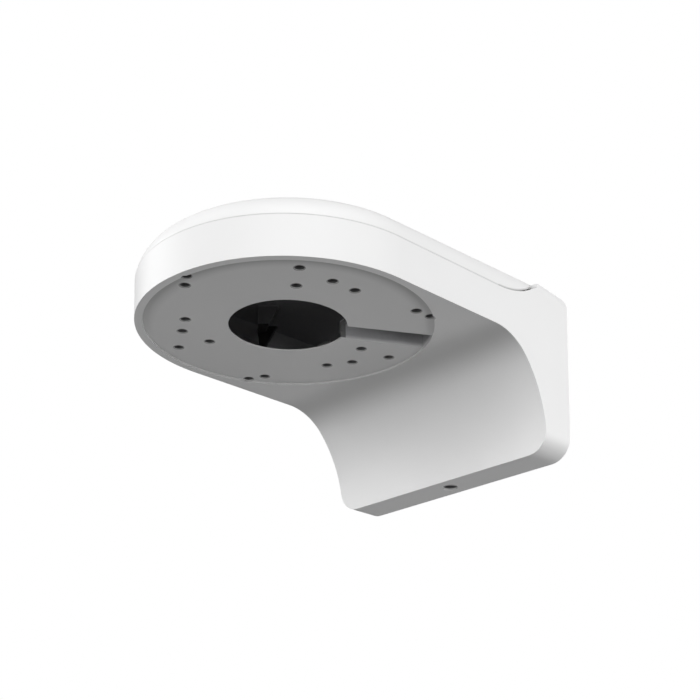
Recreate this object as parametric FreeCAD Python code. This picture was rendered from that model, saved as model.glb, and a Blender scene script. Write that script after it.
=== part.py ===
import FreeCAD, Part
import math
import os

os.makedirs("parts", exist_ok=True)

V = FreeCAD.Vector

# The wall is the plane y = 0 and the bracket reaches out along -Y, with Z up.
# z = 0 is the lower rim of the round head, where the camera is screwed on.
# All lengths are in millimetres.

# Outer form of the cast body
head_radius = 61.0
head_y = -99.9
seam_z = 16.5
wall_draft = math.tan(math.radians(3.0))
foot_z = -44.2
foot_depth = 15.4
bend_radius = 24.3
sweep_radius = 51.2
sweep_end_z = -41.5
foot_corner = 9.8

# Collar at the wall: a crowned top that falls a little toward the wall
collar_side_z = 28.1
collar_crown = 1.9
collar_fall = 0.119
collar_corner = 8.5
collar_side_margin = 0.16
collar_room_y = -24.0
wall_edge_bevel = 0.4
notch_radius = 39.4
notch_y = -43.3

# Wall thicknesses of the casting
side_wall = 3.6
floor_wall = 3.8
opening_rear_y = -31.5
opening_corner = 8.0

# Camera plate under the head
recess_radius = 57.0
recess_depth = 0.8
bore_radius = 23.4
bore_y = head_y - 0.6
bore_lip = 0.6
bore_step = 1.0
bore_flare = math.radians(22.0)
camera_hole_radius = 1.95
# Each ring has three holes, 120 degrees apart: radius and angle of the first
camera_rings = (
    (51.3, -90.0),
    (55.8, -83.6),
    (49.75, -37.4),
    (35.5, -37.4),
    (42.6, -19.7),
    (40.55, -4.7),
)
slot_width = 11.8
slot_angle = 60.0
slot_top_z = 7.3
slot_wall = 2.2

# Domed lid over the head and arm
lid_mid_z = 29.7
lid_rise = 1.0 / 60.0
lid_round = 13.8
lid_thickness = 2.6
lid_inner_bevel = 7.0
lid_notch_radius = 37.9
lid_notch_y = notch_y - 0.9
lid_seam_bevel = 0.4
lip_depth = 3.0
lip_wall = 1.6
lip_clearance = 0.3

# Rubber cord seal between lid and body
seal_inset = 1.0
seal_width = 1.6
seal_depth = 1.3

# Hex-socket screws
screw_radius = 1.5
screw_clearance_radius = 1.8
screw_head_radius = 2.75
screw_head_height = 3.0
screw_rim_bevel = 0.3
socket_across = 2.5
socket_depth = 1.8

# Lid fastening: two screws at the rear, one tongue at the front
lug_x = 45.0
lug_width = 8.4
lug_front_y = -39.6
lug_low_z = 4.6
ear_inner_x = 37.0
ear_thickness = 3.0
lid_screw_z = 9.6
lid_thread_length = 6.0
tongue_width = 22.0
tongue_thickness = 2.0
tongue_gap = 0.4
ledge_z = 11.6
ledge_height = 2.4
ledge_reach = 3.0

# Lug for the camera's safety cord, under the lid
cord_lug_x = -33.0
cord_lug_y = -82.0
cord_lug_width = 10.0
cord_lug_tip = 3.4
cord_lug_drop = 11.0
cord_lug_thickness = 2.4
cord_lug_turn = 46.0

# Ribs inside the arm
rib_thickness = 2.4
rib_x = 22.0
rib_height = 5.0
rib_front_y = -56.0

# Pressed steel wall plate
plate_thickness = 2.0
plate_half_width = 49.0
plate_low_z = -37.0
plate_high_z = 16.0
plate_corner = 6.0
plate_hole_x = 37.0
plate_hole_low_z = -26.0
plate_hole_high_z = 6.0
plate_hole_radius = 2.6
plate_slot_length = 5.0
plate_cable_radius = 16.0
plate_cable_z = -8.0
hook_x = 27.0
hook_width = 14.0
hook_reach = 8.4
hook_height = 5.6
tab_width = 18.0
tab_reach = 10.9

# Hanging lips inside the collar that drop behind the hooks
hang_thickness = 2.8
hang_gap = 0.4
hang_low_z = plate_high_z

# Locking screw from below
lock_y = -7.6
lock_mouth_radius = 3.1
lock_mouth_depth = 4.5
lock_boss_radius = 5.6
lock_boss_top_z = foot_z + 6.0
lock_end_z = plate_low_z + 6.0

# Foam seal in the rear rim
wall_seal_inset = 1.0
wall_seal_width = 1.7
wall_seal_depth = 1.4


def box(x_low, x_high, y_low, y_high, z_low, z_high):
    return Part.makeBox(x_high - x_low, y_high - y_low, z_high - z_low, V(x_low, y_low, z_low))


def upright(radius, z_low, z_high, x, y):
    return Part.makeCylinder(radius, z_high - z_low, V(x, y, z_low), V(0, 0, 1))


def level_rod(radius, y_low, y_high, x, z):
    return Part.makeCylinder(radius, y_high - y_low, V(x, y_low, z), V(0, 1, 0))


def extruded_across(edges, half_width=90.0):
    """A closed side profile in the plane x = 0, drawn out equally to both sides."""
    wire = Part.Wire(edges)
    wire.translate(V(-half_width, 0, 0))
    return Part.Face(wire).extrude(V(2 * half_width, 0, 0))


def line(start, end):
    return Part.LineSegment(V(0, *start), V(0, *end)).toShape()


def side_arc(centre, radius, start_angle, end_angle):
    """An arc in the side view, its angles measured from +Y toward +Z in degrees."""
    def point(angle):
        turn = math.radians(angle)
        return V(0, centre[0] + radius * math.cos(turn), centre[1] + radius * math.sin(turn))
    middle = 0.5 * (start_angle + end_angle)
    return Part.Arc(point(start_angle), point(middle), point(end_angle)).toShape()


def drafted_prism(inset, z_low, z_high, rear_y=6.0):
    """Round head and parallel arm seen from above, moved in by inset, wider toward the top."""
    def radius_at(z):
        return head_radius - inset + wall_draft * (z - seam_z)
    low = radius_at(z_low)
    high = radius_at(z_high)
    head = Part.makeCone(low, high, z_high - z_low, V(0, head_y, z_low), V(0, 0, 1))
    section = Part.makePolygon([
        V(-low, head_y, z_low),
        V(low, head_y, z_low),
        V(high, head_y, z_high),
        V(-high, head_y, z_high),
        V(-low, head_y, z_low),
    ])
    arm = Part.Face(section).extrude(V(0, rear_y - head_y, 0))
    front_half = box(-90.0, 90.0, head_y - 90.0, head_y, z_low - 1.0, z_high + 1.0)
    return head.common(front_half).fuse(arm).removeSplitter()


# The curve under the arm is two tangent arcs: a tight bend below the head and
# a wide sweep that ends upright on the front of the foot.
sweep_centre = (-foot_depth - sweep_radius, sweep_end_z)
sweep_turn = math.asin((-bend_radius - sweep_end_z) / (sweep_radius - bend_radius))
bend_centre = (
    sweep_centre[0] + (sweep_radius - bend_radius) * math.cos(sweep_turn),
    -bend_radius,
)
notch_centre = (notch_y, seam_z + notch_radius)
far_front = head_y - 2 * head_radius


def under_curve(offset):
    """Edges of the under-arm curve from the bend to the foot, moved into the material."""
    turn = math.degrees(sweep_turn)
    return [
        side_arc(bend_centre, bend_radius + offset, 90.0, turn),
        side_arc(sweep_centre, sweep_radius + offset, turn, 0.0),
    ]


def notch_angle_at(z, radius, centre):
    """Angle on the notch arc, below its centre and toward the wall, at height z."""
    return -math.degrees(math.asin((centre[1] - z) / radius))


def notch_point(z, radius, centre):
    return (centre[0] + math.sqrt(radius ** 2 - (centre[1] - z) ** 2), z)


def body_profile():
    """Side view of the casting, closed high above the collar."""
    high_z = 40.0
    notch_top = notch_point(high_z, notch_radius, notch_centre)
    edges = [line((far_front, 0), (bend_centre[0], 0))]
    edges += under_curve(0.0)
    edges += [
        line((-foot_depth, sweep_end_z), (-foot_depth, foot_z)),
        line((-foot_depth, foot_z), (0, foot_z)),
        line((0, foot_z), (0, high_z)),
        line((0, high_z), notch_top),
        side_arc(notch_centre, notch_radius, notch_angle_at(high_z, notch_radius, notch_centre), -90.0),
        line((notch_y, seam_z), (far_front, seam_z)),
        line((far_front, seam_z), (far_front, 0)),
    ]
    return extruded_across(edges)


def collar_outline(start_y, inset):
    """Crowned outline of the collar top: a shallow arc, two round corners, drafted sides."""
    crown_radius = (head_radius ** 2 + collar_crown ** 2) / (2 * collar_crown)
    crown_centre = collar_side_z + collar_crown - crown_radius
    slant = math.sqrt(1.0 + wall_draft ** 2)
    side_at_zero = head_radius - wall_draft * seam_z + collar_side_margin
    reach = side_at_zero - collar_corner * slant
    half_b = reach * wall_draft - crown_centre
    constant = reach ** 2 + crown_centre ** 2 - (crown_radius - collar_corner) ** 2
    corner_z = (-half_b + math.sqrt(half_b ** 2 - slant ** 2 * constant)) / slant ** 2
    corner_x = reach + wall_draft * corner_z
    up = (corner_x / (crown_radius - collar_corner),
          (corner_z - crown_centre) / (crown_radius - collar_corner))
    out = (1.0 / slant, -wall_draft / slant)
    between = (up[0] + out[0], up[1] + out[1])
    length = math.hypot(*between)
    between = (between[0] / length, between[1] / length)
    low_z = -60.0
    low_x = side_at_zero - inset + wall_draft * low_z

    def corner_point(side, way):
        radius = collar_corner - inset
        return V(side * (corner_x + radius * way[0]), start_y, corner_z + radius * way[1])

    def foot(side):
        return V(side * low_x, start_y, low_z)

    edges = [
        Part.Arc(corner_point(-1, up), V(0, start_y, crown_centre + crown_radius - inset),
                 corner_point(1, up)).toShape(),
        Part.Arc(corner_point(1, up), corner_point(1, between), corner_point(1, out)).toShape(),
        Part.LineSegment(corner_point(1, out), foot(1)).toShape(),
        Part.LineSegment(foot(1), foot(-1)).toShape(),
        Part.LineSegment(foot(-1), corner_point(-1, out)).toShape(),
        Part.Arc(corner_point(-1, out), corner_point(-1, between), corner_point(-1, up)).toShape(),
    ]
    return Part.Wire(edges)


def above_collar(inset=0.0):
    """What is cut away over the collar, whose top falls toward the wall."""
    room = box(-90.0, 90.0, collar_room_y, 10.0, 8.0, 80.0)
    under = Part.Face(collar_outline(-60.0, inset)).extrude(V(0, 90.0, 0))
    tilt = -math.degrees(math.atan(collar_fall))
    under.rotate(V(0, 0, collar_side_z + collar_crown), V(1, 0, 0), tilt)
    return room.cut(under)


def pick_edges(shape, test):
    return [edge for edge in shape.Edges if test(edge)]


def middle(edge):
    first, last = edge.ParameterRange
    return edge.valueAt(0.5 * (first + last))


def beside_wall(edge):
    """True for a straight edge at either side that runs out from the wall."""
    ends = edge.Vertexes
    if len(ends) != 2 or abs(middle(edge).x) < 40.0:
        return False
    way = ends[1].Point.sub(ends[0].Point)
    return abs(way.y) > 0.97 * way.Length


def body_outside():
    """The casting as one solid block, with the round corners of its foot and collar."""
    block = drafted_prism(0.0, foot_z - 5.0, 60.0).common(body_profile())
    block = block.cut(above_collar()).removeSplitter()
    foot_corners = pick_edges(block, lambda e: beside_wall(e) and middle(e).z < foot_z + 1.0)
    block = block.makeFillet(foot_corner, foot_corners)
    wall_edges = pick_edges(block, lambda e: abs(middle(e).y) < 0.01)
    return block.makeChamfer(wall_edge_bevel, wall_edges)


def rear_slab(inset, y_low, y_high):
    """Upright slice of the collar and foot, all its edges moved in by inset."""
    low_z = foot_z + inset
    slab = drafted_prism(inset, low_z, 60.0).common(box(-90.0, 90.0, y_low, y_high, low_z, 60.0))
    slab = slab.cut(above_collar(inset)).removeSplitter()
    corners = pick_edges(slab, lambda e: beside_wall(e) and middle(e).z < low_z + 1.0)
    return slab.makeFillet(foot_corner - inset, corners)


def wall_seal_ring():
    """A foam band in the rear rim of the casting, flush with the wall plane."""
    outer = rear_slab(wall_seal_inset, -wall_seal_depth, 0.0)
    inner = rear_slab(wall_seal_inset + wall_seal_width, -wall_seal_depth - 1.0, 1.0)
    return outer.cut(inner)


def arm_cavity():
    """The hollow of the arm and collar, which is open to the wall."""
    roof_radius = notch_radius + floor_wall
    high_z = 40.0
    roof_top = notch_point(high_z, roof_radius, notch_centre)
    inner_y = -foot_depth + floor_wall
    inner_z = foot_z + floor_wall
    edges = [line((far_front, floor_wall), (bend_centre[0], floor_wall))]
    edges += under_curve(floor_wall)
    edges += [
        line((inner_y, sweep_end_z), (inner_y, inner_z)),
        line((inner_y, inner_z), (5.0, inner_z)),
        line((5.0, inner_z), (5.0, high_z)),
        line((5.0, high_z), roof_top),
        side_arc(notch_centre, roof_radius, notch_angle_at(high_z, roof_radius, notch_centre), -90.0),
        line((notch_y, seam_z - floor_wall), (far_front, seam_z - floor_wall)),
        line((far_front, seam_z - floor_wall), (far_front, floor_wall)),
    ]
    hollow = extruded_across(edges).common(drafted_prism(side_wall, foot_z, 60.0))
    corners = pick_edges(hollow, lambda e: beside_wall(e) and middle(e).z < inner_z + 1.0)
    hollow = hollow.makeFillet(foot_corner - side_wall, corners)
    return hollow.cut(above_collar(floor_wall))


def top_opening():
    """The opening under the lid, from the camera plate up, with two round rear corners."""
    opening = drafted_prism(side_wall, floor_wall, 60.0, opening_rear_y)
    rear_corners = pick_edges(
        opening,
        lambda e: abs(middle(e).y - opening_rear_y) < 0.1 and abs(middle(e).x) > 40.0,
    )
    return opening.makeFillet(opening_corner, rear_corners)


def ring_points(radius, first_angle):
    """Three points 120 degrees apart on a circle about the head's centre."""
    points = []
    for step in range(3):
        angle = math.radians(first_angle + 120.0 * step)
        points.append((radius * math.cos(angle), head_y + radius * math.sin(angle)))
    return points


def camera_holes():
    return [point for radius, angle in camera_rings for point in ring_points(radius, angle)]


def cable_slot(width, z_low, z_high, reach):
    """A straight channel from the bore out to the recess wall, which closes its end."""
    channel = box(0.0, reach + 10.0, -width / 2, width / 2, z_low, z_high)
    channel.rotate(V(0, 0, 0), V(0, 0, 1), slot_angle)
    channel.translate(V(0, head_y, 0))
    return channel.common(upright(reach, z_low, z_high, 0, head_y))


def lid_region(radius, lift=0.0, arc_y=notch_y):
    """Side region over the parting line; past the arm it climbs the notch arc."""
    centre = (arc_y, seam_z + lift + radius)
    high_z = 45.0
    top = notch_point(high_z, radius, centre)
    edges = [
        line((far_front, seam_z + lift), (arc_y, seam_z + lift)),
        side_arc(centre, radius, -90.0, notch_angle_at(high_z, radius, centre)),
        line(top, (far_front, high_z)),
        line((far_front, high_z), (far_front, seam_z + lift)),
    ]
    return extruded_across(edges)


def seal_loop():
    """Closed band in plan, inside the outline and round the rear of the opening."""
    rear_y = opening_rear_y + side_wall + 1.0
    outer = drafted_prism(seal_inset, seam_z - 6.0, 45.0, rear_y)
    inner = drafted_prism(seal_inset + seal_width, seam_z - 7.0, 46.0, rear_y - seal_width)
    return outer.cut(inner)


def seal_groove():
    """The part of the loop that is sunk into the top land of the casting."""
    return seal_loop().common(lid_region(notch_radius + seal_depth, -seal_depth))


def low_band(height):
    """Everything up to a given height over the outer curve under the arm."""
    foot_y = -foot_depth + height
    edges = [line((far_front, foot_z - 10.0), (far_front, height)),
             line((far_front, height), (bend_centre[0], height))]
    edges += under_curve(height)
    edges += [line((foot_y, sweep_end_z), (foot_y, foot_z - 10.0)),
              line((foot_y, foot_z - 10.0), (far_front, foot_z - 10.0))]
    return extruded_across(edges)


def body_inner_parts():
    """Channel walls, ribs and lugs that stand inside the hollow casting."""
    parts = [cable_slot(slot_width + 2 * slot_wall, recess_depth, slot_top_z + slot_wall,
                        recess_radius + slot_wall)]
    rib_band = low_band(floor_wall + rib_height)
    for side in (-1, 1):
        x = side * rib_x
        rib = box(x - rib_thickness / 2, x + rib_thickness / 2, rib_front_y, -foot_depth + floor_wall + 1.0,
                  foot_z, floor_wall + rib_height)
        parts.append(rib.common(rib_band))
        low_x, high_x = sorted((side * ear_inner_x, side * head_radius))
        parts.append(box(low_x, high_x, opening_rear_y, opening_rear_y + ear_thickness,
                         -20.0, 40.0))
        parts.append(box(side * hook_x - hook_width / 2 - 2.0, side * hook_x + hook_width / 2 + 2.0,
                         -plate_thickness - hang_gap - hang_thickness, -plate_thickness - hang_gap,
                         hang_low_z, collar_side_z))
    parts.append(box(-tongue_width / 2, tongue_width / 2, far_front,
                     head_y - head_radius + side_wall + ledge_reach, ledge_z, ledge_z + ledge_height))
    parts.append(upright(lock_boss_radius, foot_z, lock_boss_top_z, 0, lock_y))
    return parts


def cable_bore():
    """The large bore: a thin lip below, then a step and a flare so that no cable chafes."""
    step_z = recess_depth + bore_lip
    step_radius = bore_radius + bore_step
    flare_radius = step_radius + (floor_wall - step_z) / math.tan(bore_flare)
    lip = upright(bore_radius, -5.0, slot_top_z + slot_wall + 1.0, 0, bore_y)
    step = upright(step_radius, step_z, slot_top_z + slot_wall + 1.0, 0, bore_y)
    flare = Part.makeCone(step_radius, flare_radius, floor_wall - step_z,
                          V(0, bore_y, step_z), V(0, 0, 1))
    return lip.fuse(step).fuse(flare)


def bracket_body():
    """The cast body: head with camera plate, hollow arm and open-backed collar."""
    outside = body_outside()
    body = outside.cut(arm_cavity()).cut(top_opening())
    inner_parts = [piece.common(outside) for piece in body_inner_parts()]
    body = body.multiFuse(inner_parts).removeSplitter()

    recess = upright(recess_radius, -5.0, recess_depth, 0, head_y)
    slot = cable_slot(slot_width, -5.0, slot_top_z, recess_radius)
    body = body.cut(recess).cut(cable_bore()).cut(slot)
    holes = [upright(camera_hole_radius, -5.0, floor_wall, x, y) for x, y in camera_holes()]
    body = body.cut(Part.makeCompound(holes))

    screw_holes = [level_rod(screw_clearance_radius, opening_rear_y - 5.0, -15.0,
                             side * lug_x, lid_screw_z) for side in (-1, 1)]
    body = body.cut(Part.makeCompound(screw_holes))
    body = body.cut(upright(lock_mouth_radius, foot_z - 1.0, foot_z + lock_mouth_depth, 0, lock_y))
    body = body.cut(upright(screw_clearance_radius, foot_z, lock_boss_top_z + 1.0, 0, lock_y))
    body = body.cut(seal_groove())
    return body.cut(wall_seal_ring())


def crown_edges(block, drop):
    """Edges round the top of a lid block, but for the straight one at the rear."""
    low_z = lid_mid_z - drop - 4.0
    return pick_edges(block, lambda e: middle(e).z > low_z and middle(e).y < -20.0)


def lid_block(inset, drop):
    """The plan outline under a flat top that rises toward the wall."""
    low_z = 6.0
    rear_y = 2.0
    def top_at(y):
        return lid_mid_z - drop + lid_rise * (y - head_y)
    side = extruded_across([
        line((far_front, low_z - 1), (rear_y - 1, low_z - 1)),
        line((rear_y - 1, low_z - 1), (rear_y - 1, top_at(rear_y - 1))),
        line((rear_y - 1, top_at(rear_y - 1)), (far_front, top_at(far_front))),
        line((far_front, top_at(far_front)), (far_front, low_z - 1)),
    ])
    return drafted_prism(inset, low_z, 50.0, rear_y).common(side)


def cord_lug():
    """A tapered tongue that hangs from the lid, for the camera's safety cord."""
    top_z = lid_mid_z
    tip_z = top_z - lid_thickness - cord_lug_drop
    half = cord_lug_thickness / 2
    wire = Part.makePolygon([
        V(-cord_lug_width / 2, -half, top_z),
        V(cord_lug_width / 2, -half, top_z),
        V(-cord_lug_width / 2 + cord_lug_tip, -half, tip_z),
        V(-cord_lug_width / 2, -half, tip_z),
        V(-cord_lug_width / 2, -half, top_z),
    ])
    lug = Part.Face(wire).extrude(V(0, cord_lug_thickness, 0))
    lug.rotate(V(0, 0, 0), V(0, 0, 1), cord_lug_turn)
    lug.translate(V(cord_lug_x, cord_lug_y, 0))
    return lug


def top_cover():
    """The domed lid, hollow below, with its locating lip, rear lugs and front tongue."""
    block = lid_block(0.0, 0.0)
    outside = block.makeFillet(lid_round, crown_edges(block, 0.0))
    hollow = lid_block(side_wall, lid_thickness)
    hollow = hollow.makeChamfer(lid_inner_bevel, crown_edges(hollow, lid_thickness))
    lid = outside.common(lid_region(lid_notch_radius, arc_y=lid_notch_y))
    front = pick_edges(lid, lambda e: abs(middle(e).z - seam_z) < 0.01 and middle(e).y < head_y - 50.0)
    lid = lid.makeChamfer(lid_seam_bevel, front)
    lid = lid.cut(hollow.common(top_opening()))

    lip = top_opening_inset(lip_clearance).cut(top_opening_inset(lip_clearance + lip_wall))
    lip = lip.common(box(-90, 90, far_front, lug_front_y, seam_z - lip_depth, 45.0))
    parts = [lip.common(outside)]
    for side in (-1, 1):
        lug = box(side * lug_x - lug_width / 2, side * lug_x + lug_width / 2,
                  lug_front_y, opening_rear_y, lug_low_z, 45.0)
        parts.append(lug.common(outside))
    inner_front = head_y - head_radius + side_wall
    nose_z = ledge_z - tongue_gap
    back_y = inner_front + ledge_reach + tongue_gap
    tongue = box(-tongue_width / 2, tongue_width / 2, back_y, back_y + tongue_thickness,
                 nose_z - tongue_thickness, 45.0)
    nose = box(-tongue_width / 2, tongue_width / 2, far_front, back_y + tongue_thickness,
               nose_z - tongue_thickness, nose_z)
    nose = nose.common(top_opening_inset(2 * tongue_gap))
    parts += [tongue.common(outside), nose, cord_lug().common(outside)]
    lid = lid.multiFuse(parts).removeSplitter()
    ledge_room = box(-tongue_width / 2 - 0.5, tongue_width / 2 + 0.5, far_front, back_y,
                     ledge_z - tongue_gap, ledge_z + ledge_height + tongue_gap)
    lid = lid.cut(ledge_room)
    screw_holes = [level_rod(screw_radius, opening_rear_y - lid_thread_length - 0.6, opening_rear_y + 1.0,
                             side * lug_x, lid_screw_z) for side in (-1, 1)]
    return lid.cut(Part.makeCompound(screw_holes))


def top_opening_inset(inset):
    """The top opening made smaller all round, for parts that drop into it."""
    prism = drafted_prism(side_wall + inset, 2.0, 60.0, opening_rear_y - inset)
    rear_corners = pick_edges(
        prism,
        lambda e: abs(middle(e).y - opening_rear_y + inset) < 0.1 and abs(middle(e).x) > 40.0,
    )
    return prism.makeFillet(opening_corner - inset, rear_corners)


def cover_seal():
    """Rubber cord that fills the groove and meets the underside of the lid."""
    over_lid_line = lid_region(lid_notch_radius, arc_y=lid_notch_y)
    below_lid = lid_region(notch_radius + seal_depth, -seal_depth).cut(over_lid_line)
    return seal_loop().common(below_lid)


def rounded_plate(half_width, z_low, z_high, corner, thickness):
    """An upright sheet with round corners, its rear face on the wall plane."""
    sheet = box(-half_width, half_width, -thickness, 0, z_low, z_high)
    corners = pick_edges(sheet, lambda e: abs(e.Vertexes[0].Point.y - e.Vertexes[-1].Point.y) > 0.5)
    return sheet.makeFillet(corner, corners)


def bent_hook(x):
    """Tab bent out from the top of the plate and up again, for the casting to hang on."""
    low_z = plate_high_z - plate_thickness
    flat = box(x - hook_width / 2, x + hook_width / 2, -hook_reach, 0, low_z, plate_high_z)
    rise = box(x - hook_width / 2, x + hook_width / 2, -hook_reach, -hook_reach + plate_thickness,
               low_z, plate_high_z + hook_height)
    hook = flat.fuse(rise).removeSplitter()
    bend = pick_edges(
        hook,
        lambda e: abs(middle(e).y + hook_reach) < 0.01 and abs(middle(e).z - low_z) < 0.01,
    )
    return hook.makeFillet(plate_thickness - 0.2, bend)


def plate_slot(x, z):
    """An oblong hole for a wall screw, longer across than up."""
    half = plate_slot_length / 2
    ends = [level_rod(plate_hole_radius, -5.0, 5.0, x + way * half, z) for way in (-1, 1)]
    bar = box(x - half, x + half, -5.0, 5.0, z - plate_hole_radius, z + plate_hole_radius)
    return ends[0].fuse(ends[1]).fuse(bar)


def wall_plate():
    """Pressed steel plate: two hooks above, a threaded tab below, slots and a cable hole."""
    plate = rounded_plate(plate_half_width, plate_low_z, plate_high_z, plate_corner, plate_thickness)
    tab = box(-tab_width / 2, tab_width / 2, -tab_reach, 0, plate_low_z, plate_low_z + plate_thickness)
    plate = plate.multiFuse([bent_hook(-hook_x), bent_hook(hook_x), tab]).removeSplitter()
    plate = plate.cut(level_rod(plate_cable_radius, -5.0, 5.0, 0, plate_cable_z))
    for x in (-plate_hole_x, plate_hole_x):
        for z in (plate_hole_low_z, plate_hole_high_z):
            plate = plate.cut(plate_slot(x, z))
    return plate.cut(upright(screw_radius, plate_low_z - 1.0, plate_low_z + 5.0, 0, lock_y))


def socket_screw(length):
    """A hex-socket screw: head below z = 0, shank above it."""
    head = Part.makeCylinder(screw_head_radius, screw_head_height,
                             V(0, 0, -screw_head_height), V(0, 0, 1))
    rim = pick_edges(head, lambda e: middle(e).z < -screw_head_height + 0.01)
    head = head.makeChamfer(screw_rim_bevel, rim)
    shank = Part.makeCylinder(screw_radius, length, V(0, 0, 0), V(0, 0, 1))
    screw = head.fuse(shank).removeSplitter()
    corner_radius = socket_across / math.sqrt(3.0)
    corners = []
    for step in range(7):
        angle = math.radians(60.0 * step)
        corners.append(V(corner_radius * math.cos(angle), corner_radius * math.sin(angle),
                         -screw_head_height))
    socket = Part.Face(Part.makePolygon(corners)).extrude(V(0, 0, socket_depth))
    return screw.cut(socket)


def lock_screw():
    """Screw that locks the casting to the tab of the wall plate from below."""
    seat_z = foot_z + lock_mouth_depth
    screw = socket_screw(lock_end_z - seat_z)
    screw.translate(V(0, lock_y, seat_z))
    return screw


def cover_screw(side):
    """Screw from the open back through the casting's ear into a lug of the lid."""
    screw = socket_screw(ear_thickness + lid_thread_length)
    screw.rotate(V(0, 0, 0), V(1, 0, 0), 90.0)
    screw.translate(V(side * lug_x, opening_rear_y + ear_thickness, lid_screw_z))
    return screw


nodes = {
    "bracket_body": bracket_body(),
    "top_cover": top_cover(),
    "cover_seal": cover_seal(),
    "wall_plate": wall_plate(),
    "wall_seal": wall_seal_ring(),
    "lock_screw": lock_screw(),
    "cover_screw_left": cover_screw(-1),
    "cover_screw_right": cover_screw(1),
}

for name, shape in nodes.items():
    shape.exportStep("parts/" + name + ".step")
    extent = shape.optimalBoundingBox(False)
    print(name, len(shape.Solids), "solids", shape.isValid(), round(shape.Volume / 1000.0, 2), "cm3",
          [round(v, 1) for v in (extent.XMin, extent.XMax, extent.YMin, extent.YMax, extent.ZMin, extent.ZMax)])
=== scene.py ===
import math

import bpy
import numpy as np
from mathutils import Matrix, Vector


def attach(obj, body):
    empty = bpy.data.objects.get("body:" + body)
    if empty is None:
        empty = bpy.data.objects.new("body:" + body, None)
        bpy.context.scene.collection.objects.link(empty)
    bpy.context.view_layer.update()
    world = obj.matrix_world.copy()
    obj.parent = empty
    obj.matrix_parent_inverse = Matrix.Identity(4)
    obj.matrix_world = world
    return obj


# A white camera wall bracket. The wall is the plane y = 0, the arm reaches out
# along -Y, and z = 0 is the lower rim of the round head. Lengths are in metres.

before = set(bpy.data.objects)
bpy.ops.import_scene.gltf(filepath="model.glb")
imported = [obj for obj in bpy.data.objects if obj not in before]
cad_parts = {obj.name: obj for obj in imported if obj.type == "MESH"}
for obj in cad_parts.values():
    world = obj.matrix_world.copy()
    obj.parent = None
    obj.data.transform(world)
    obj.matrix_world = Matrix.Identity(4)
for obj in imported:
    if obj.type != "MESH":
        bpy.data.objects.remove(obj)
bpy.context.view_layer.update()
MM = 0.001

# Outline of head, arm, foot and collar, the same as in the part's source
HEAD_Y = -99.9 * MM
HEAD_RADIUS = 61.0 * MM
SEAM_Z = 16.5 * MM
WALL_DRAFT = math.tan(math.radians(3.0))
FOOT_Z = -44.2 * MM
FOOT_DEPTH = 15.4 * MM
BEND_RADIUS = 24.3 * MM
SWEEP_RADIUS = 51.2 * MM
SWEEP_END_Z = -41.5 * MM
NOTCH_Y = -43.3 * MM
NOTCH_RADIUS = 39.4 * MM
COLLAR_TOP_Z = 30.0 * MM
COLLAR_FALL = 0.119
COLLAR_CORNER = 13.0 * MM

# Lid: the round edge under its sloping top, and its end in the notch
LID_MID_Z = 29.7 * MM
LID_RISE = 1.0 / 60.0
LID_ROUND = 13.8 * MM
LID_NOTCH_Y = NOTCH_Y - 0.9 * MM
LID_NOTCH_RADIUS = 37.9 * MM

# Camera plate: its recess, the bore with its lip and flare, and the cable channel
RECESS_Z = 0.8 * MM
RECESS_RADIUS = 57.0 * MM
PLATE_TOP_Z = 4.2 * MM
BORE_Y = HEAD_Y - 0.6 * MM
LIP_RADIUS = 24.2 * MM
FLARE_RADIUS = 25.6 * MM
FLARE_TOP_Z = 9.0 * MM
CHANNEL_ANGLE = math.radians(60.0)
CHANNEL_HALF_WIDTH = 5.9 * MM
CHANNEL_TOP_Z = 7.3 * MM
CHANNEL_START = 22.0 * MM

# Small holes for cameras: the radius of each ring of three, and the angle of its first hole
CAMERA_HOLE_RADIUS = 1.95 * MM
CAMERA_RINGS = ((51.3, -90.0), (55.8, -83.6), (49.75, -37.4),
                (35.5, -37.4), (42.6, -19.7), (40.55, -4.7))
HALF_RING_STEP = math.radians(60.0)
# The walls of the small holes above a lit lip, and a thin ring round each mouth, are painted dark
# as shade
HOLE_WALL_GAP = 0.05 * MM
HOLE_SHADE_WIDTH = 0.35 * MM
HOLE_LIGHT_Z = 1.1 * MM
MOUTH_SHADE = 0.7

# Mouth of the lock screw's hole in the foot, whose walls are painted dark as shade, and the painted
# shade on one side of its edge
LOCK_Y = -7.6 * MM
LOCK_MOUTH_RADIUS = 3.1 * MM
LOCK_LIGHT_Z = FOOT_Z + 0.8 * MM
LOCK_SHADE_X = 0.7 * MM
LOCK_SHADE_Y = LOCK_Y - 0.7 * MM

# The lug that the lid has inside, its tip painted black as shade, and the tongue for the camera's
# safety cord behind it, black as painted shade
LUG_X = -33.0 * MM
LUG_Y = -82.0 * MM
LUG_REACH = 8.0 * MM
LUG_TOP_Z = 26.8 * MM
LUG_TIP_Z = 18.8 * MM
LUG_ROOT_SHADE = 0.35
TONGUE_X = -49.8 * MM
TONGUE_Y = -68.9 * MM
TONGUE_ANGLE = math.radians(45.931)
TONGUE_ROOT_Z = 28.4 * MM
TONGUE_ROOT_WIDTH = 9.5 * MM
TONGUE_DROP = 11.5 * MM
TONGUE_TIP_WIDTH = 2.1 * MM
TONGUE_TIP_SHIFT = -2.1 * MM
TONGUE_THICKNESS = 2.4 * MM
TONGUE_BLUNTNESS = 0.3

# The end of the channel's far wall, beside the bore
CHEEK_START = 22.3 * MM
CHEEK_END = 30.5 * MM
CHEEK_LOW_Z = 0.9 * MM
CHEEK_HIGH_Z = 4.15 * MM
CHEEK_SKIN = 0.08 * MM

# How far inside the casting and the lid the bare grey inner faces begin; their grey is also painted
# shade
BODY_SKIN = 3.2 * MM
LID_SKIN = 1.7 * MM
# On the walls of the holes and the bore this grey is painted shade only
PLATE_SKIN_Z = 1.1 * MM
LIP_SKIN_Z = 1.5 * MM
MASK_SOFTNESS = 0.3 * MM

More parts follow.
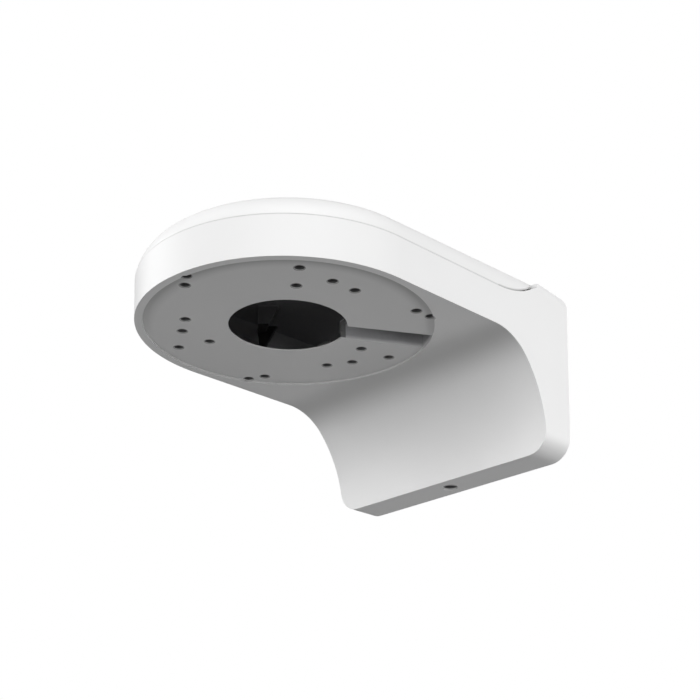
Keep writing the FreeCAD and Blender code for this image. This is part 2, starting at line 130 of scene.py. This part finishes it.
# Soft shade that gathers in the recess, the channel, the bend under the arm and the parting line
CORNER_SHADE = 0.45
CORNER_REACH = 4.0 * MM
CORNER_SIDE = math.radians(-45.0)
FAR_CORNER_SHARE = 0.15
WALL_SHADE = 0.33
PLATE_SHADE = 0.13
CHANNEL_SHADE_Z = 1.5 * MM
CHANNEL_SHADE_REACH = 2.4 * MM
SEAM_SHADE = 0.22
SEAM_REACH = 0.7 * MM
NOTCH_SHADE = 0.45
NOTCH_SHADE_REACH = 1.0 * MM
BEND_SHADE = 0.34
BEND_SHADE_ANGLE = math.radians(73.0)
BEND_SHADE_REACH = 9.5 * MM

# Colours, as red, green, blue and alpha; a pair is the two ends of a mottle
WHITE_COAT = ((0.80, 0.80, 0.80, 1), (0.83, 0.83, 0.83, 1))
# Bare grey of the inner faces, set dark as painted shade for the closed inside
BARE_CASTING = ((0.31, 0.31, 0.32, 1), (0.37, 0.37, 0.38, 1))
ZINC = ((0.38, 0.39, 0.41, 1), (0.52, 0.53, 0.54, 1))
BLACK_OXIDE = ((0.020, 0.020, 0.022, 1), (0.045, 0.045, 0.048, 1))
PALE_FLOOR = ((0.14, 0.14, 0.14, 1), (0.25, 0.25, 0.25, 1))
# Near black that the coat's painted shade tends to
COAT_SHADE = (0.02, 0.02, 0.02, 1)
# Colour of the painted shade in the holes, on the flare of the bore and round the mouths
HOLE_SHADE_COLOUR = (0.13, 0.13, 0.13, 1)
# Black painted on the lid's lug as shade
LUG_SHADE_BLACK = (0.010, 0.010, 0.010, 1)
WHITE = (1, 1, 1, 1)
SEAL_BLACK = (0.020, 0.020, 0.021)
# Black of the tongue, painted shade
TONGUE_SHADE_BLACK = (0.010, 0.010, 0.010)
FOAM_GREY = (0.05, 0.05, 0.052)

# Studio: lamps, floor, and the camera at the photograph's place
LAMP_DISTANCE = 1.6
LAMP_SIZE = 1.1
LAMP_TARGET = Vector((0.0, -0.075, 0.0))
FLOOR_Z = -0.6
FLOOR_RADIUS = 6.0
FLOOR_SIDES = 64
FLOOR_GLOW = 0.78
WORLD_LIGHT = 0.33
VIEW_AZIMUTH = 45.931
VIEW_ELEVATION = -24.252
VIEW_DISTANCE = 537.15 * MM
VIEW_TARGET = Vector((1.93, -68.495, 0.0)) * MM
LENS_MM = 67.98


# Shader nodes

def new_material(name):
    """A node material with just a Principled shader; returns material, tree and shader."""
    material = bpy.data.materials.new(name)
    material.use_nodes = True
    tree = material.node_tree
    tree.nodes.clear()
    shader = tree.nodes.new("ShaderNodeBsdfPrincipled")
    output = tree.nodes.new("ShaderNodeOutputMaterial")
    tree.links.new(shader.outputs["BSDF"], output.inputs["Surface"])
    return material, tree, shader


def feed(tree, socket, value):
    """Sets an input to a number or a colour, or links it to another node's output."""
    if isinstance(value, (int, float, tuple)):
        socket.default_value = value
    else:
        tree.links.new(value, socket)


def calc(tree, operation, *values):
    """One Math node."""
    node = tree.nodes.new("ShaderNodeMath")
    node.operation = operation
    for socket, value in zip(node.inputs, values):
        feed(tree, socket, value)
    return node.outputs[0]


def minus(tree, a, b):
    """The difference of two values."""
    return calc(tree, "SUBTRACT", a, b)


def times(tree, first, *others):
    """The product of several values; of masks, where all of them hold."""
    for other in others:
        first = calc(tree, "MULTIPLY", first, other)
    return first


def most(tree, first, *others):
    """The largest of several values; of masks, where any of them holds."""
    for other in others:
        first = calc(tree, "MAXIMUM", first, other)
    return first


def under(tree, value, limit):
    """1 where the value is less than the limit, else 0."""
    return calc(tree, "LESS_THAN", value, limit)


def above(tree, value, limit, softness=MASK_SOFTNESS):
    """0 below the limit and 1 above it, with a ramp of that width across it."""
    shifted = calc(tree, "DIVIDE", minus(tree, value, limit), softness)
    node = tree.nodes.new("ShaderNodeClamp")
    tree.links.new(calc(tree, "ADD", shifted, 0.5), node.inputs["Value"])
    return node.outputs[0]


def hypot(tree, a, b):
    """Square root of a squared plus b squared."""
    return calc(tree, "SQRT", calc(tree, "ADD", times(tree, a, a), times(tree, b, b)))


def distance(tree, a, b, middle_a, middle_b):
    """Distance of the point (a, b) from a middle."""
    return hypot(tree, minus(tree, a, middle_a), minus(tree, b, middle_b))


def spread(tree, value, low, high):
    """Maps a value from 0..1 to low..high."""
    return calc(tree, "MULTIPLY_ADD", value, high - low, low)


def choose(tree, test, if_one, if_zero):
    """Mixes two numbers by a factor from 0 to 1."""
    node = tree.nodes.new("ShaderNodeMix")
    feed(tree, node.inputs["Factor"], test)
    feed(tree, node.inputs["A"], if_zero)
    feed(tree, node.inputs["B"], if_one)
    return node.outputs["Result"]


def mix_colour(tree, factor, first, second):
    """Mixes two colours; each is a tuple or an output."""
    node = tree.nodes.new("ShaderNodeMix")
    node.data_type = "RGBA"
    feed(tree, node.inputs[0], factor)
    feed(tree, node.inputs[6], first)
    feed(tree, node.inputs[7], second)
    return node.outputs[2]


def place(tree):
    """The point's place in the object's own coordinates, whole and as x, y, z."""
    coordinates = tree.nodes.new("ShaderNodeTexCoord")
    parts = tree.nodes.new("ShaderNodeSeparateXYZ")
    tree.links.new(coordinates.outputs["Object"], parts.inputs[0])
    return (coordinates.outputs["Object"], *parts.outputs)


def noise(tree, point, scale, detail=3.0, roughness=0.5):
    """Cloudy noise from 0 to 1; a scale of 1000 has features about 1 mm wide."""
    node = tree.nodes.new("ShaderNodeTexNoise")
    node.inputs["Scale"].default_value = scale
    node.inputs["Detail"].default_value = detail
    node.inputs["Roughness"].default_value = roughness
    tree.links.new(point, node.inputs["Vector"])
    return node.outputs["Fac"]


def bump(tree, shader, height, depth, strength):
    """Lets a height pattern of that depth tilt the shader's normal."""
    node = tree.nodes.new("ShaderNodeBump")
    node.inputs["Strength"].default_value = strength
    node.inputs["Distance"].default_value = depth
    tree.links.new(height, node.inputs["Height"])
    tree.links.new(node.outputs["Normal"], shader.inputs["Normal"])


# Depth below the skin of the casting and the lid

def side_depth(tree, x, y, z):
    """How far a point lies inside the drafted outline of round head and parallel arm."""
    across = hypot(tree, x, calc(tree, "MINIMUM", minus(tree, y, HEAD_Y), 0.0))
    outline = calc(tree, "MULTIPLY_ADD", z, WALL_DRAFT, HEAD_RADIUS - WALL_DRAFT * SEAM_Z)
    return minus(tree, outline, across)


def arc_centres():
    """The angle where the sweep and the bend meet, and how far out their centres lie."""
    turn = math.asin((-BEND_RADIUS - SWEEP_END_Z) / (SWEEP_RADIUS - BEND_RADIUS))
    sweep_y = -FOOT_DEPTH - SWEEP_RADIUS
    return turn, sweep_y, sweep_y + (SWEEP_RADIUS - BEND_RADIUS) * math.cos(turn)


def bend_point(angle):
    """A point on the bend; the angle is 90 degrees where the bend leaves the camera plate."""
    *_, bend_y = arc_centres()
    return bend_y + BEND_RADIUS * math.cos(angle), BEND_RADIUS * (math.sin(angle) - 1.0)


def under_depth(tree, y, z):
    """How far a point lies above the camera plate, the two arcs under the arm, and the foot."""
    turn, sweep_y, bend_y = arc_centres()
    meet_y = sweep_y + SWEEP_RADIUS * math.cos(turn)
    meet_z = SWEEP_END_Z + SWEEP_RADIUS * math.sin(turn)
    bend = minus(tree, distance(tree, y, z, bend_y, -BEND_RADIUS), BEND_RADIUS)
    sweep = minus(tree, distance(tree, y, z, sweep_y, SWEEP_END_Z), SWEEP_RADIUS)
    border = calc(tree, "MULTIPLY_ADD", y, math.tan(turn), meet_z - meet_y * math.tan(turn))
    arcs = choose(tree, calc(tree, "GREATER_THAN", z, border), bend, sweep)
    arcs = choose(tree, calc(tree, "GREATER_THAN", y, bend_y), arcs, z)
    foot = calc(tree, "MINIMUM", calc(tree, "ADD", y, FOOT_DEPTH), minus(tree, z, FOOT_Z))
    return choose(tree, calc(tree, "GREATER_THAN", z, SWEEP_END_Z), arcs, foot)


def depth_at_corner(tree, first, second, radius):
    """Depth below a rounded corner of two faces, from the depths below the two faces."""
    short_of_first = most(tree, minus(tree, radius, first), 0.0)
    short_of_second = most(tree, minus(tree, radius, second), 0.0)
    return minus(tree, radius, hypot(tree, short_of_first, short_of_second))


def cut_by_notch(tree, depth, y, z, notch_y, radius, outside):
    """The depth, with the concave arc up to the collar as one more face."""
    notch = distance(tree, y, z, notch_y, SEAM_Z + radius)
    notch = minus(tree, notch, radius) if outside else minus(tree, radius, notch)
    behind = calc(tree, "GREATER_THAN", y, notch_y)
    return choose(tree, behind, calc(tree, "MINIMUM", depth, notch), depth)


def body_inside(tree, x, y, z):
    """1 on the inner faces and hole walls of the casting, grey as bare casting and as painted
    shade; it fades in up the channel wall as painted shade.
    """
    top = minus(tree, calc(tree, "MULTIPLY_ADD", y, -COLLAR_FALL, COLLAR_TOP_Z), z)
    depth = depth_at_corner(tree, side_depth(tree, x, y, z), top, COLLAR_CORNER)
    depth = calc(tree, "MINIMUM", depth, under_depth(tree, y, z))
    depth = cut_by_notch(tree, depth, y, z, NOTCH_Y, NOTCH_RADIUS, True)
    inside = times(tree, above(tree, depth, BODY_SKIN), under(tree, y, -MASK_SOFTNESS))
    from_head = minus(tree, y, HEAD_Y)
    in_plate = under(tree, hypot(tree, x, from_head), RECESS_RADIUS + MASK_SOFTNESS)
    in_bore = under(tree, distance(tree, x, y, 0.0, BORE_Y), LIP_RADIUS)
    skin_z = choose(tree, in_bore, LIP_SKIN_Z, PLATE_SKIN_Z)
    inside = most(tree, inside, times(tree, in_plate, above(tree, minus(tree, z, skin_z), 0.0)))
    along = calc(tree, "ADD", times(tree, x, math.cos(CHANNEL_ANGLE)),
                 times(tree, from_head, math.sin(CHANNEL_ANGLE)))
    off = minus(tree, times(tree, from_head, math.cos(CHANNEL_ANGLE)),
                times(tree, x, math.sin(CHANNEL_ANGLE)))
    off = calc(tree, "ABSOLUTE", off)
    in_channel = times(tree, in_plate,
                       under(tree, off, CHANNEL_HALF_WIDTH + MASK_SOFTNESS),
                       under(tree, z, CHANNEL_TOP_Z + MASK_SOFTNESS),
                       calc(tree, "GREATER_THAN", along, CHANNEL_START))
    # Painted shade: the channel wall turns grey as it goes up
    fade = above(tree, z, CHANNEL_SHADE_Z, CHANNEL_SHADE_REACH)
    return choose(tree, in_channel, fade, inside)


def lid_inside(tree, x, y, z):
    """1 on the inner faces of the lid, bare grey and darkened as painted shade; its crown is a
    round edge under a sloping top.
    """
    top = calc(tree, "MULTIPLY_ADD", y, LID_RISE, LID_MID_Z - LID_RISE * HEAD_Y)
    side = side_depth(tree, x, y, z)
    depth = depth_at_corner(tree, side, minus(tree, top, z), LID_ROUND)
    depth = cut_by_notch(tree, depth, y, z, LID_NOTCH_Y, LID_NOTCH_RADIUS, False)
    return above(tree, depth, LID_SKIN)


# Painted shade: small holes, the flare of the bore, the foot's hole and the lid's lug

def camera_hole_distance(tree, x, y):
    """Distances from the middle of the nearest camera hole and from the middle of the head.

    The bearing is folded into one third of a turn, so that each ring needs only its first hole.
    """
    from_head = minus(tree, y, HEAD_Y)
    reach = hypot(tree, x, from_head)
    bearing = calc(tree, "ARCTAN2", from_head, x)
    nearest = 1.0
    for radius, angle in CAMERA_RINGS:
        turned = minus(tree, bearing, math.radians(angle))
        turned = calc(tree, "WRAP", turned, HALF_RING_STEP, -HALF_RING_STEP)
        along = times(tree, reach, calc(tree, "COSINE", turned))
        across = times(tree, reach, calc(tree, "SINE", turned))
        away = hypot(tree, minus(tree, along, radius * MM), across)
        nearest = calc(tree, "MINIMUM", away, nearest)
    return nearest, reach


def painted_hole_shade(tree, x, y, z):
    """1 where shade is painted: the walls of the small holes, a thin ring round each mouth, the
    foot's hole and one side of its mouth, and the flare of the bore.
    """
    away, reach = camera_hole_distance(tree, x, y)
    on_wall = times(tree, under(tree, away, CAMERA_HOLE_RADIUS + HOLE_WALL_GAP),
                    above(tree, z, HOLE_LIGHT_Z), under(tree, z, PLATE_TOP_Z))
    # A thin ring of painted shade round each camera hole's mouth, on the plate
    on_mouth_shade = above(tree, minus(tree, CAMERA_HOLE_RADIUS + HOLE_SHADE_WIDTH, away), 0.0, 0.15 * MM)
    on_mouth_shade = times(tree, on_mouth_shade, under(tree, reach, RECESS_RADIUS - 0.1 * MM),
                    calc(tree, "COMPARE", z, RECESS_Z, 0.1 * MM))
    # The flare of the bore and the walls of the foot's hole are painted dark as shade
    on_flare = times(tree, under(tree, distance(tree, x, y, 0.0, BORE_Y), FLARE_RADIUS),
                     above(tree, z, LIP_SKIN_Z), under(tree, z, FLARE_TOP_Z))
    in_foot = under(tree, distance(tree, x, y, 0.0, LOCK_Y), LOCK_MOUTH_RADIUS + HOLE_WALL_GAP)
    in_foot = times(tree, in_foot, above(tree, z, LOCK_LIGHT_Z), under(tree, z, 0.0))
    # Painted shade on one side of the foot hole's mouth
    by_foot = distance(tree, x, y, LOCK_SHADE_X, LOCK_SHADE_Y)
    by_foot = times(tree, above(tree, minus(tree, LOCK_MOUTH_RADIUS, by_foot), 0.0),
                    under(tree, z, FOOT_Z + 0.1 * MM))
    edges = times(tree, most(tree, on_mouth_shade, by_foot), MOUTH_SHADE)
    return most(tree, on_wall, on_flare, in_foot, edges)


def painted_lug_shade(tree, x, y, z):
    """1 on the tip of the lid's lug, and a part of that on the rest of it: painted black as shade.
    """
    near = times(tree, under(tree, distance(tree, x, y, LUG_X, LUG_Y), LUG_REACH),
                 under(tree, z, LUG_TOP_Z))
    return times(tree, near, choose(tree, above(tree, z, LUG_TIP_Z), LUG_ROOT_SHADE, 1.0))


# Soft shade

def recess_shade(tree, x, y, z):
    """Shade on the camera plate: it falls off exponentially from the rim of the recess.

    It is deepest on the side of CORNER_SIDE. The low wall of the recess has an even shade, and
    the plate as a whole a slight one.
    """
    from_head = minus(tree, y, HEAD_Y)
    reach = hypot(tree, x, from_head)
    off_rim = minus(tree, reach, RECESS_RADIUS - 0.5 * CORNER_REACH)
    rim = calc(tree, "EXPONENT", calc(tree, "DIVIDE", off_rim, CORNER_REACH))
    rim = calc(tree, "MINIMUM", rim, 1.0)
    facing = calc(tree, "ADD", times(tree, x, math.cos(CORNER_SIDE)),
                  times(tree, from_head, math.sin(CORNER_SIDE)))
    facing = above(tree, calc(tree, "DIVIDE", facing, most(tree, reach, MM)), 0.1, 0.8)
    on_plate = times(tree, calc(tree, "GREATER_THAN", z, 0.5 * RECESS_Z),
                     under(tree, reach, RECESS_RADIUS + 0.1 * MM))
    rim = times(tree, rim, spread(tree, facing, FAR_CORNER_SHARE, 1.0), on_plate, CORNER_SHADE)
    on_wall = times(tree, calc(tree, "COMPARE", reach, RECESS_RADIUS, MM),
                    calc(tree, "COMPARE", z, 0.5 * RECESS_Z, 0.45 * RECESS_Z), WALL_SHADE)
    plate = times(tree, on_plate, PLATE_SHADE, under(tree, z, PLATE_TOP_Z))
    return most(tree, rim, on_wall, plate)


def bend_shade(tree, x, y, z):
    """Shade in the bend under the arm: a Gauss curve of the distance from one line across it."""
    line_y, line_z = bend_point(BEND_SHADE_ANGLE)
    away = calc(tree, "DIVIDE", distance(tree, y, z, line_y, line_z), BEND_SHADE_REACH)
    bend = calc(tree, "EXPONENT", times(tree, away, away, -1.0))
    return times(tree, bend, BEND_SHADE, under(tree, z, 0.5 * RECESS_Z),
                 above(tree, side_depth(tree, x, y, z), MASK_SOFTNESS))


def casting_shade(tree, x, y, z):
    """Shade in the recess and in the bend, and on the casting's edge along the parting line."""
    under_seam = calc(tree, "DIVIDE", minus(tree, SEAM_Z, z), 0.5 * SEAM_REACH)
    seam = most(tree, minus(tree, 1.0, calc(tree, "ABSOLUTE", under_seam)), 0.0)
    seam = times(tree, seam, 0.5 * SEAM_SHADE, under(tree, y, NOTCH_Y))
    return most(tree, recess_shade(tree, x, y, z), bend_shade(tree, x, y, z), seam)


def lid_edge_shade(tree, _x, y, z):
    """Shade on the lid's lower edge, which follows the parting line and runs up the notch."""
    in_notch = distance(tree, y, z, LID_NOTCH_Y, SEAM_Z + LID_NOTCH_RADIUS)
    in_notch = minus(tree, LID_NOTCH_RADIUS, in_notch)
    behind = calc(tree, "GREATER_THAN", y, LID_NOTCH_Y)
    off_seam = choose(tree, behind, in_notch, minus(tree, z, SEAM_Z))
    reach = choose(tree, behind, NOTCH_SHADE_REACH, SEAM_REACH)
    near = most(tree, minus(tree, 1.0, calc(tree, "DIVIDE", off_seam, reach)), 0.0)
    return times(tree, calc(tree, "MINIMUM", near, 1.0),
                 choose(tree, behind, NOTCH_SHADE, SEAM_SHADE))


# Finishes

def powder_coat(name, inside_mask, shade_mask, dark_mask, dark):
    """White powder coat with a faint orange peel and painted shade; inner faces are bare grey
    casting, and the dark mask paints shade.
    """
    material, tree, shader = new_material(name)
    point, x, y, z = place(tree)
    white = mix_colour(tree, noise(tree, point, 45.0, 2.0), *WHITE_COAT)
    # Painted shade: the shade mask darkens the coat towards a near black
    white = mix_colour(tree, shade_mask(tree, x, y, z), white, COAT_SHADE)
    bare = mix_colour(tree, noise(tree, point, 900.0), *BARE_CASTING)
    inside = inside_mask(tree, x, y, z)
    colour = mix_colour(tree, inside, white, bare)
    # Painted shade: the dark mask paints the holes or the lug dark
    colour = mix_colour(tree, dark_mask(tree, x, y, z), colour, dark)
    tree.links.new(colour, shader.inputs["Base Color"])
    peel = noise(tree, point, 700.0, 2.0, 0.4)
    roughness = choose(tree, inside, 0.8, spread(tree, peel, 0.42, 0.50))
    tree.links.new(roughness, shader.inputs["Roughness"])
    grain = noise(tree, point, 2600.0, 2.0)
    bump(tree, shader, calc(tree, "MULTIPLY_ADD", grain, 0.25, peel), 0.012 * MM, 0.6)
    return material


def rubber(name, shade, grain_scale, roughness):
    """Matt rubber or foam: a dark shade with a fine moulded grain."""
    material, tree, shader = new_material(name)
    point, *_ = place(tree)
    grain = noise(tree, point, grain_scale, 4.0, 0.6)
    dark = tuple(0.75 * v for v in shade) + (1,)
    light = tuple(1.25 * v for v in shade) + (1,)
    tree.links.new(mix_colour(tree, grain, dark, light), shader.inputs["Base Color"])
    grainy = spread(tree, grain, roughness - 0.06, roughness + 0.06)
    tree.links.new(grainy, shader.inputs["Roughness"])
    bump(tree, shader, grain, 0.03 * MM, 0.7)
    return material


def zinc_steel():
    """Zinc-plated pressed steel: soft cloudy spangle and fine rolling lines across the sheet."""
    material, tree, shader = new_material("zinc_steel_finish")
    point, *_ = place(tree)
    stretched = tree.nodes.new("ShaderNodeMapping")
    stretched.inputs["Scale"].default_value = (0.05, 1.0, 1.0)
    tree.links.new(point, stretched.inputs["Vector"])
    lines = noise(tree, stretched.outputs[0], 2200.0)
    spangle = mix_colour(tree, noise(tree, point, 160.0), *ZINC)
    tree.links.new(spangle, shader.inputs["Base Color"])
    shader.inputs["Metallic"].default_value = 1.0
    tree.links.new(spread(tree, lines, 0.52, 0.66), shader.inputs["Roughness"])
    bump(tree, shader, lines, 0.006 * MM, 0.6)
    return material


def black_screw():
    """Black oxide steel with turning marks too fine to count."""
    material, tree, shader = new_material("black_oxide_finish")
    point, *_ = place(tree)
    marks = noise(tree, point, 3000.0)
    tree.links.new(mix_colour(tree, marks, *BLACK_OXIDE), shader.inputs["Base Color"])
    shader.inputs["Metallic"].default_value = 0.6
    tree.links.new(spread(tree, marks, 0.32, 0.50), shader.inputs["Roughness"])
    bump(tree, shader, marks, 0.008 * MM, 0.5)
    return material


def dress(node, material):
    """Gives a CAD node its finish through its object's material slots."""
    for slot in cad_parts[node].material_slots:
        slot.link = "OBJECT"
        slot.material = material


# Pieces that the solids lack

def new_piece(name, points, faces, material):
    """A mesh piece at the origin, from rows of points and lists of their numbers."""
    mesh = bpy.data.meshes.new(name)
    mesh.from_pydata(points.reshape(-1, 3).tolist(), [], faces)
    mesh.materials.append(material)
    piece = bpy.data.objects.new(name, mesh)
    bpy.context.scene.collection.objects.link(piece)
    return piece


def cord_tongue():
    """A tapered tongue under the lid, for the camera's safety cord; its black is painted shade.

    A superellipse section is carried straight down from the root in the lid to the tip. Its width
    falls evenly along the way, and its middle shifts sideways, so one edge is steeper.
    """
    down = np.linspace(0.0, 1.0, 9)[:, None]
    turn = np.linspace(0.0, 2.0 * math.pi, 33)[None, :-1]
    blunt_cos = np.sign(np.cos(turn)) * np.abs(np.cos(turn)) ** TONGUE_BLUNTNESS
    blunt_sin = np.sign(np.sin(turn)) * np.abs(np.sin(turn)) ** TONGUE_BLUNTNESS
    half = 0.5 * (TONGUE_ROOT_WIDTH + (TONGUE_TIP_WIDTH - TONGUE_ROOT_WIDTH) * down)
    across = half * blunt_cos + TONGUE_TIP_SHIFT * down
    through = 0.5 * TONGUE_THICKNESS * blunt_sin
    x = TONGUE_X + across * math.cos(TONGUE_ANGLE) - through * math.sin(TONGUE_ANGLE)
    y = TONGUE_Y + across * math.sin(TONGUE_ANGLE) + through * math.cos(TONGUE_ANGLE)
    z = TONGUE_ROOT_Z - TONGUE_DROP * down
    points = np.stack(np.broadcast_arrays(x, y, z), axis=-1)
    index = np.arange(x.size).reshape(x.shape)
    after = np.roll(index, -1, axis=1)
    quads = np.stack([index[:-1], index[1:], after[1:], after[:-1]], axis=-1).reshape(-1, 4)
    ends = [index[0].tolist(), index[-1, ::-1].tolist()]
    # The tongue's black rubber finish is painted shade, for the deep shade inside the head
    tongue = new_piece("cord_tongue", points, quads.tolist() + ends,
                       rubber("shade_black_tongue", TONGUE_SHADE_BLACK, 1500.0, 0.55))
    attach(tongue, "root")


def channel_cheek(material):
    """The end of the channel's far wall at the bore, where the bore's flare cuts into it.

    A flat bar with its corners at along = CHEEK_START and CHEEK_END, z = CHEEK_LOW_Z and
    CHEEK_HIGH_Z, and off = CHANNEL_HALF_WIDTH +- CHEEK_SKIN, along and across the channel.
    """
    along, z, off = np.meshgrid(
        [CHEEK_START, CHEEK_END], [CHEEK_LOW_Z, CHEEK_HIGH_Z],
        [CHANNEL_HALF_WIDTH - CHEEK_SKIN, CHANNEL_HALF_WIDTH + CHEEK_SKIN], indexing="ij")
    x = along * math.cos(CHANNEL_ANGLE) - off * math.sin(CHANNEL_ANGLE)
    y = HEAD_Y + along * math.sin(CHANNEL_ANGLE) + off * math.cos(CHANNEL_ANGLE)
    faces = [(0, 2, 3, 1), (4, 5, 7, 6), (0, 1, 5, 4), (2, 6, 7, 3), (0, 4, 6, 2), (1, 3, 7, 5)]
    cheek = new_piece("channel_cheek", np.stack([x, y, z], axis=-1), faces, material)
    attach(cheek, "root")


# Studio

def direction(azimuth, elevation):
    """The way out from the target, in degrees; azimuth 0 is straight in front of the wall."""
    a = math.radians(azimuth)
    e = math.radians(elevation)
    return Vector((math.sin(a) * math.cos(e), -math.cos(a) * math.cos(e), math.sin(e)))


def set_up(name, data, target, way, distance_out):
    """Puts a lamp or a camera at that way and distance from a point, upright and facing it."""
    thing = bpy.data.objects.new(name, data)
    bpy.context.scene.collection.objects.link(thing)
    thing.location = target + way * distance_out
    thing.rotation_mode = "QUATERNION"
    thing.rotation_quaternion = (target - thing.location).to_track_quat("-Z", "Y")
    return thing


def softbox(name, azimuth, elevation, level):
    """A square area lamp in that direction, which gives the bracket that light level."""
    lamp = bpy.data.lights.new(name, "AREA")
    lamp.shape = "SQUARE"
    lamp.size = LAMP_SIZE
    lamp.energy = level * math.pi ** 2 * LAMP_DISTANCE ** 2
    set_up(name, lamp, LAMP_TARGET, direction(azimuth, elevation), LAMP_DISTANCE)


def make_floor():
    """A pale round floor far below; its bounce is weaker than the look that it gives the camera."""
    turn = np.linspace(0.0, 2.0 * math.pi, FLOOR_SIDES, endpoint=False)
    points = np.stack([FLOOR_RADIUS * np.cos(turn), FLOOR_RADIUS * np.sin(turn),
                       np.full(FLOOR_SIDES, FLOOR_Z)], axis=-1)
    material, tree, shader = new_material("pale_floor")
    path = tree.nodes.new("ShaderNodeLightPath")
    seen = most(tree, path.outputs["Is Camera Ray"], path.outputs["Is Glossy Ray"])
    tree.links.new(mix_colour(tree, seen, *PALE_FLOOR), shader.inputs["Base Color"])
    shader.inputs["Roughness"].default_value = 0.9
    shader.inputs["Specular IOR Level"].default_value = 0.0
    shader.inputs["Emission Color"].default_value = WHITE
    tree.links.new(times(tree, seen, FLOOR_GLOW), shader.inputs["Emission Strength"])
    floor = new_piece("floor", points, [list(range(FLOOR_SIDES))], material)


def make_world():
    """White to the camera and in glass, and a weaker even light on everything else."""
    world = bpy.data.worlds.new("studio")
    world.use_nodes = True
    tree = world.node_tree
    tree.nodes.clear()
    path = tree.nodes.new("ShaderNodeLightPath")
    seen = most(tree, path.outputs["Is Camera Ray"], path.outputs["Is Transmission Ray"])
    background = tree.nodes.new("ShaderNodeBackground")
    background.inputs["Color"].default_value = WHITE
    tree.links.new(spread(tree, seen, WORLD_LIGHT, 1.0), background.inputs["Strength"])
    output = tree.nodes.new("ShaderNodeOutputWorld")
    tree.links.new(background.outputs[0], output.inputs["Surface"])
    bpy.context.scene.world = world


def make_camera():
    """The camera, at the place that the photograph was taken from."""
    data = bpy.data.cameras.new("camera")
    data.sensor_width = 36.0
    data.lens = LENS_MM
    data.clip_start = 0.01
    data.clip_end = 20.0
    way = direction(VIEW_AZIMUTH, VIEW_ELEVATION)
    bpy.context.scene.camera = set_up("camera", data, VIEW_TARGET, way, VIEW_DISTANCE)


# Both coats carry painted shade, from their shade masks and their dark masks
casting_coat = powder_coat("powder_coat_casting", body_inside, casting_shade, painted_hole_shade, HOLE_SHADE_COLOUR)
dress("bracket_body", casting_coat)
dress("top_cover", powder_coat("powder_coat_lid", lid_inside, lid_edge_shade, painted_lug_shade, LUG_SHADE_BLACK))
dress("cover_seal", rubber("black_rubber", SEAL_BLACK, 1500.0, 0.62))
dress("wall_seal", rubber("grey_foam", FOAM_GREY, 2600.0, 0.88))
dress("wall_plate", zinc_steel())
screw_black = black_screw()
for screw in ("lock_screw", "cover_screw_left", "cover_screw_right"):
    dress(screw, screw_black)
cord_tongue()
channel_cheek(casting_coat)

make_floor()
make_world()
make_camera()
softbox("front_light", 22.0, -8.0, 0.61)
softbox("right_light", 125.0, -8.0, 0.67)
softbox("high_right_light", 46.0, 42.0, 0.46)
softbox("left_light", -58.0, 20.0, 0.44)
softbox("back_light", 205.0, 20.0, 0.14)
bpy.context.scene.view_settings.view_transform = "Standard"
